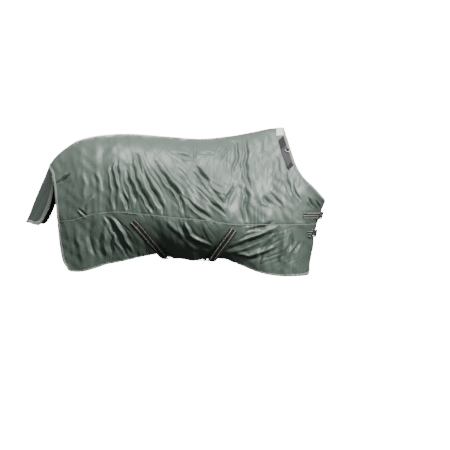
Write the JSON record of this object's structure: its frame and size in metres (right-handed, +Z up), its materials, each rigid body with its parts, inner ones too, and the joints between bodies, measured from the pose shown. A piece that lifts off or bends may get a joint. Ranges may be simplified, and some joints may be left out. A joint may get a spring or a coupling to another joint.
{
  "type": "turnout rug",
  "caption": "Horse turnout rug in coated green-grey fabric, shaped as worn, with bound edges, striped crossed surcingles, chest closures and a tail flap.",
  "frame": {"origin": "inside of the rug on the spine at the withers, where it rests on the horse's back", "axes": "+X towards the chest, +Y to the horse's left, +Z up"},
  "size_m": [1.8116, 0.65, 0.8851],
  "materials": {
    "coated_cloth": "satin",
    "lining_cloth": "satin",
    "binding_tape": "satin",
    "piping": "satin",
    "striped_webbing": "matte",
    "black_webbing": "matte",
    "white_patch": "matte",
    "label_cloth": "matte",
    "plated_steel": "polished",
    "brass_plate": "polished"
  },
  "bodies": {
    "rug": {"front_hook_plate": "plated_steel", "front_keeper_plate": "plated_steel", "front_keeper_strap": "striped_webbing", "front_surcingle": "striped_webbing", "left_drop_lining": "lining_cloth", "left_drop_panel": "coated_cloth", "left_front_binding": "binding_tape", "left_hem_binding": "binding_tape", "left_neck_binding": "binding_tape", "left_neck_ring_tab": "black_webbing", "left_rear_binding": "binding_tape", "left_seam_piping": "piping", "left_upper_lining": "lining_cloth", "left_upper_panel": "coated_cloth", "left_withers_patch": "white_patch", "lower_hook_strap": "striped_webbing", "lower_ring_loop": "black_webbing", "lower_ring_strap": "striped_webbing", "lower_swivel": "plated_steel", "lower_swivel_loop": "black_webbing", "neck_label_end": "black_webbing", "neck_label_tab": "black_webbing", "neck_label_tape": "label_cloth", "rear_hook_plate": "plated_steel", "rear_keeper_plate": "plated_steel", "rear_keeper_strap": "striped_webbing", "rear_surcingle": "striped_webbing", "right_drop_lining": "lining_cloth", "right_drop_panel": "coated_cloth", "right_front_binding": "binding_tape", "right_hem_binding": "binding_tape", "right_neck_binding": "binding_tape", "right_neck_ring_tab": "black_webbing", "right_rear_binding": "binding_tape", "right_seam_piping": "piping", "right_upper_lining": "lining_cloth", "right_upper_panel": "coated_cloth", "right_withers_patch": "white_patch", "upper_hook_strap": "striped_webbing", "upper_ring_loop": "black_webbing", "upper_ring_strap": "striped_webbing", "upper_swivel": "plated_steel", "upper_swivel_loop": "black_webbing"},
    "tail_flap_body": {"tail_flap": "coated_cloth", "tail_flap_lining": "lining_cloth", "tail_flap_binding": "binding_tape"},
    "upper_hook_body": {"upper_snap_hook": "plated_steel"},
    "upper_gate_body": {"upper_snap_gate": "plated_steel"},
    "upper_chest_ring_body": {"upper_chest_ring": "plated_steel"},
    "upper_chest_slider_body": {"upper_chest_slider": "plated_steel"},
    "lower_hook_body": {"lower_snap_hook": "plated_steel"},
    "lower_gate_body": {"lower_snap_gate": "plated_steel"},
    "lower_chest_ring_body": {"lower_chest_ring": "plated_steel"},
    "lower_chest_slider_body": {"lower_chest_slider": "plated_steel"},
    "rear_surcingle_slider_body": {"rear_surcingle_slider": "plated_steel"},
    "front_surcingle_slider_body": {"front_surcingle_slider": "plated_steel"},
    "right_neck_ring_body": {"right_neck_ring": "brass_plate"},
    "left_neck_ring_body": {"left_neck_ring": "brass_plate"}
  },
  "joints": [
    {"name": "tail_flap_hinge", "type": "hinge", "parent": "rug", "child": "tail_flap_body", "pos_m": [-1.34, 0, -0.208], "axis": [0, 1, 0], "range_deg": [0, 70]},
    {"name": "upper_hook_swivel", "type": "hinge", "parent": "rug", "child": "upper_hook_body", "pos_m": [0.29838, -0.04642, -0.52332], "axis": [0.2831, 0.9591, 0], "range_deg": [-8, 8]},
    {"name": "upper_gate_pin", "type": "hinge", "parent": "upper_hook_body", "child": "upper_gate_body", "pos_m": [0.29965, -0.06494, -0.52527], "axis": [-0.2771, 0.0818, -0.9574], "range_deg": [0, 20], "stiffness_Nm_per_rad": 0.02, "springref_deg": -20.05},
    {"name": "upper_ring_hinge", "type": "hinge", "parent": "rug", "child": "upper_chest_ring_body", "pos_m": [0.28139, -0.10397, -0.52332], "axis": [-0.2771, 0.0818, -0.9574], "range_deg": [-2, 2]},
    {"name": "upper_chest_slide", "type": "slide", "parent": "rug", "child": "upper_chest_slider_body", "axis": [-0.1771, 0.9841, 0.0137], "range_m": [-0.012, 0.012]},
    {"name": "lower_hook_swivel", "type": "hinge", "parent": "rug", "child": "lower_hook_body", "pos_m": [0.25774, -0.08841, -0.63043], "axis": [0.3728, 0.9279, 0], "range_deg": [-8, 8]},
    {"name": "lower_gate_pin", "type": "hinge", "parent": "lower_hook_body", "child": "lower_gate_body", "pos_m": [0.25738, -0.10701, -0.63186], "axis": [-0.1962, 0.0789, -0.9774], "range_deg": [0, 20], "stiffness_Nm_per_rad": 0.02, "springref_deg": -20.05},
    {"name": "lower_ring_hinge", "type": "hinge", "parent": "rug", "child": "lower_chest_ring_body", "pos_m": [0.23537, -0.14408, -0.63043], "axis": [-0.1962, 0.0789, -0.9774], "range_deg": [-2, 2]},
    {"name": "lower_chest_slide", "type": "slide", "parent": "rug", "child": "lower_chest_slider_body", "axis": [-0.0232, 0.9997, 0.0097], "range_m": [-0.012, 0.012]},
    {"name": "rear_surcingle_slide", "type": "slide", "parent": "rug", "child": "rear_surcingle_slider_body", "axis": [0.6133, 0.7895, -0.0214], "range_m": [-0.006, 0.008]},
    {"name": "front_surcingle_slide", "type": "slide", "parent": "rug", "child": "front_surcingle_slider_body", "axis": [-0.6134, 0.7896, 0.0178], "range_m": [-0.006, 0.008]},
    {"name": "right_neck_ring_hinge", "type": "hinge", "parent": "rug", "child": "right_neck_ring_body", "pos_m": [0.08959, -0.11442, -0.12621], "axis": [-0.9999, -0.0118, 0], "range_deg": [0, 60]},
    {"name": "left_neck_ring_hinge", "type": "hinge", "parent": "rug", "child": "left_neck_ring_body", "pos_m": [0.08959, 0.11442, -0.12621], "axis": [0.9999, -0.0118, 0], "range_deg": [0, 60]}
  ]
}
